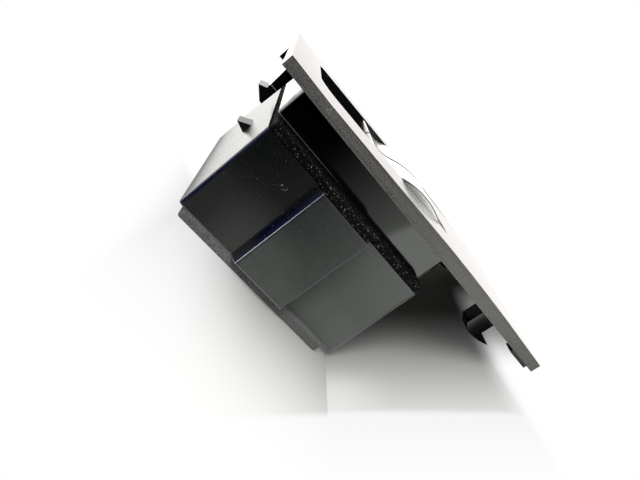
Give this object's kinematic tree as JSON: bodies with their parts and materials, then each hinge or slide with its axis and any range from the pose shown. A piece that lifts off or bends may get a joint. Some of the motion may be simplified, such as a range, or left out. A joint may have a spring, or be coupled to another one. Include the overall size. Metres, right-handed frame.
{
  "type": "power window switch",
  "caption": "Power window switch with rocker knobs side by side in a finger well, a crowned faceplate with a skirt and snap hooks, and a stepped switch block below.",
  "frame": {"origin": "middle of the footprint on the lid's underside", "axes": "+Z out of the faceplate, +X along the faceplate towards its plain end, +Y across it"},
  "size_m": [0.11, 0.07, 0.0506],
  "materials": {
    "faceplate_plastic": "gloss moulded black",
    "housing_plastic": "semi-gloss moulded black",
    "cover_plastic": "matte fine grain",
    "foam": "open-cell foam",
    "knob_plastic": "satin moulded black",
    "plunger_plastic": "natural acetal",
    "silicone": "matte silicone",
    "laminate": "green solder mask",
    "terminal_brass": "tinned brass",
    "screw_steel": "zinc plated",
    "relay_case": "moulded case",
    "chip_case": "moulded case",
    "capacitor_can": "drawn can"
  },
  "bodies": {
    "switch": {"bezel": "faceplate_plastic", "switch_housing": "housing_plastic", "bottom_cover": "cover_plastic", "foam_seal": "foam", "rubber_mat": "silicone", "circuit_board": "laminate", "connector_header": "cover_plastic", "terminal_pins": "terminal_brass", "bezel_screws": "screw_steel", "board_screws": "screw_steel", "relay_near": "relay_case", "relay_far": "relay_case", "control_chip": "chip_case", "filter_capacitor": "capacitor_can", "chip_resistors": "chip_case"},
    "knob_near": {"knob_near": "knob_plastic"},
    "knob_far": {"knob_far": "knob_plastic"},
    "plunger_near_front": {"plunger_near_front": "plunger_plastic"},
    "plunger_near_rear": {"plunger_near_rear": "plunger_plastic"},
    "plunger_far_front": {"plunger_far_front": "plunger_plastic"},
    "plunger_far_rear": {"plunger_far_rear": "plunger_plastic"}
  },
  "joints": [
    {"name": "knob_near_tilt", "type": "hinge", "parent": "switch", "child": "knob_near", "pos_m": [-0.004, -0.0042, 0.041], "axis": [0, 1, 0], "range_deg": [-8, 8], "stiffness_Nm_per_rad": 0.05},
    {"name": "knob_far_tilt", "type": "hinge", "parent": "switch", "child": "knob_far", "pos_m": [-0.004, 0.0142, 0.041], "axis": [0, 1, 0], "range_deg": [-8, 8], "stiffness_Nm_per_rad": 0.05},
    {"name": "plunger_near_front_slide", "type": "slide", "parent": "switch", "child": "plunger_near_front", "axis": [0, 0, 1], "range_m": [-0.0013, 0.0013], "deforming": ["rubber_mat"]},
    {"name": "plunger_near_rear_slide", "type": "slide", "parent": "switch", "child": "plunger_near_rear", "axis": [0, 0, 1], "range_m": [-0.0013, 0.0013]},
    {"name": "plunger_far_front_slide", "type": "slide", "parent": "switch", "child": "plunger_far_front", "axis": [0, 0, 1], "range_m": [-0.0013, 0.0013]},
    {"name": "plunger_far_rear_slide", "type": "slide", "parent": "switch", "child": "plunger_far_rear", "axis": [0, 0, 1], "range_m": [-0.0013, 0.0013]}
  ],
  "couplings": [
    {"joint": "plunger_near_front_slide", "follows": "knob_near_tilt", "m_per_rad": 0.0085},
    {"joint": "plunger_near_rear_slide", "follows": "knob_near_tilt", "m_per_rad": -0.0085},
    {"joint": "plunger_far_front_slide", "follows": "knob_far_tilt", "m_per_rad": 0.0085},
    {"joint": "plunger_far_rear_slide", "follows": "knob_far_tilt", "m_per_rad": -0.0085}
  ]
}
